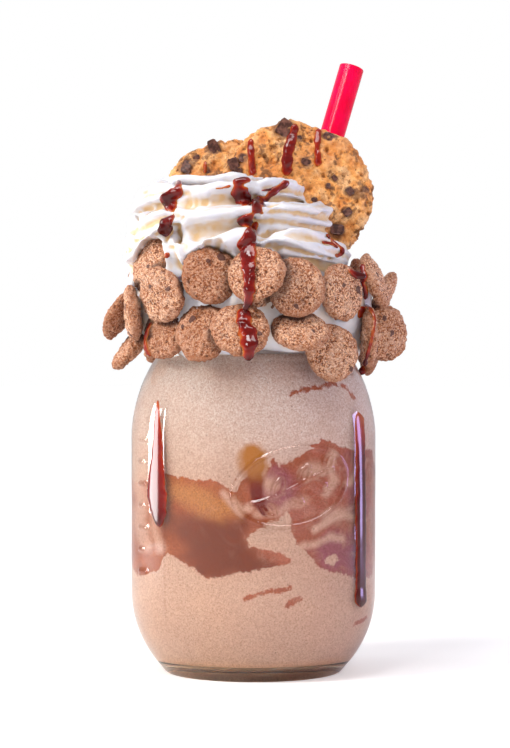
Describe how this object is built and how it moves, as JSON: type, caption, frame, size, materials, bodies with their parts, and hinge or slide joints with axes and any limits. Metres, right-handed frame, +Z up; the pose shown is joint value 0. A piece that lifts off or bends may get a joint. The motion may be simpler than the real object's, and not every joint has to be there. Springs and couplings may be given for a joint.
{
  "type": "milkshake",
  "caption": "Chocolate milkshake in a screw-top glass jar, topped with piped cream, chocolate chip cookies, small cookie cereal, syrup and a straw.",
  "frame": {"origin": "centre of the jar's foot on the surface it stands on, which is within about a millimetre of the middle of the whole drink seen from above", "axes": "+Z up along the jar's axis, -Y towards the front that the picture shows, +X to the right of that view"},
  "size_m": [0.0995, 0.0993, 0.2029],
  "materials": {
    "glass": "polished",
    "shake": "satin",
    "cream": "satin",
    "cereal": "matte",
    "cookie": "matte",
    "straw": "gloss",
    "syrup": "gloss"
  },
  "bodies": {
    "root": {"jar": "glass", "straw": "straw", "shake": "shake", "cookie_front": "cookie", "cookie_back": "cookie", "cereal_01": "cereal", "cereal_02": "cereal", "cereal_03": "cereal", "cereal_04": "cereal", "cereal_05": "cereal", "cereal_06": "cereal", "cereal_07": "cereal", "cereal_08": "cereal", "cereal_09": "cereal", "cereal_10": "cereal", "cereal_11": "cereal", "cereal_12": "cereal", "cereal_13": "cereal", "cereal_14": "cereal", "cereal_15": "cereal", "cereal_16": "cereal", "cereal_17": "cereal", "cereal_18": "cereal", "cereal_19": "cereal", "cereal_20": "cereal", "cereal_21": "cereal", "cereal_22": "cereal", "cereal_23": "cereal", "cereal_24": "cereal", "cereal_25": "cereal", "cereal_26": "cereal", "cereal_27": "cereal", "cereal_28": "cereal", "cereal_29": "cereal", "cereal_30": "cereal", "cereal_31": "cereal", "whipped_cream": "cream", "cream_collar": "cream"}
  },
  "joints": []
}
